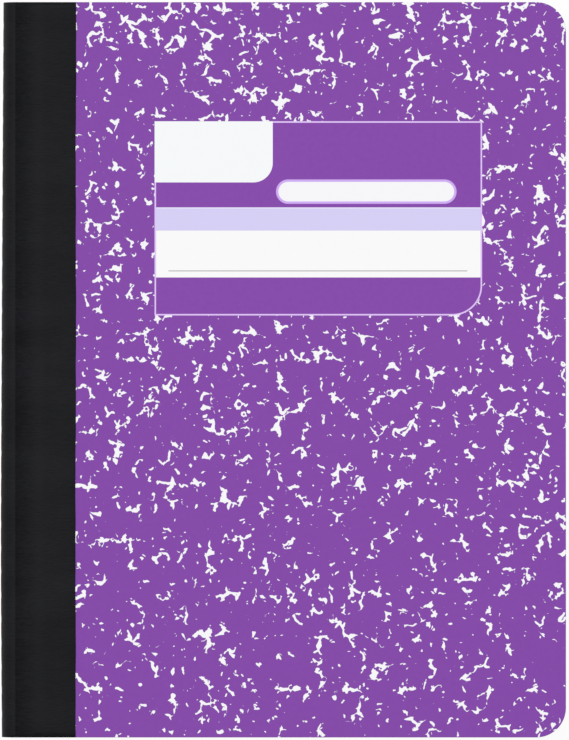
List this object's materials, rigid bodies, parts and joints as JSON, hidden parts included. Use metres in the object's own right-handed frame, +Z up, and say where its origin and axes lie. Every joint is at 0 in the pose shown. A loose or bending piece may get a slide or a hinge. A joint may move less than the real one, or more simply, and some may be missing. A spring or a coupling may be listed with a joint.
{
  "type": "composition notebook",
  "caption": "Sewn notebook of ruled leaves in stiff marbled covers with a cloth-taped spine, rounded fore-edge corners and a blank title label.",
  "frame": {"origin": "on the resting plane, under the middle of the closed book's outline", "axes": "+Z up out of the front cover, +Y toward the head of the page, +X toward the fore edge, so the spine is at -X"},
  "size_m": [0.1905, 0.2476, 0.0103],
  "materials": {
    "leaves": "matte uncoated writing paper",
    "cover": "printed purple and white marbling under a semi-gloss varnish",
    "cover_board": "grey board",
    "tape": "black cloth-grained binding tape with a low sheen",
    "thread": "white sewing thread"
  },
  "bodies": {
    "book": {"page_block": "leaves", "cover_spine": "cover_board", "tape_spine": "tape", "needle_thread": "thread", "bobbin_thread": "thread"},
    "front": {"front_cover": "cover", "tape_front": "tape"},
    "back": {"back_cover": "cover", "tape_back": "tape"}
  },
  "joints": [
    {"name": "front_cover_hinge", "type": "hinge", "parent": "book", "child": "front", "pos_m": [-0.0901, 0, 0.0103], "axis": [0, -1, 0], "range_deg": [0, 180]},
    {"name": "back_cover_hinge", "type": "hinge", "parent": "book", "child": "back", "pos_m": [-0.0901, 0, 0], "axis": [0, 1, 0], "range_deg": [0, 180]}
  ]
}
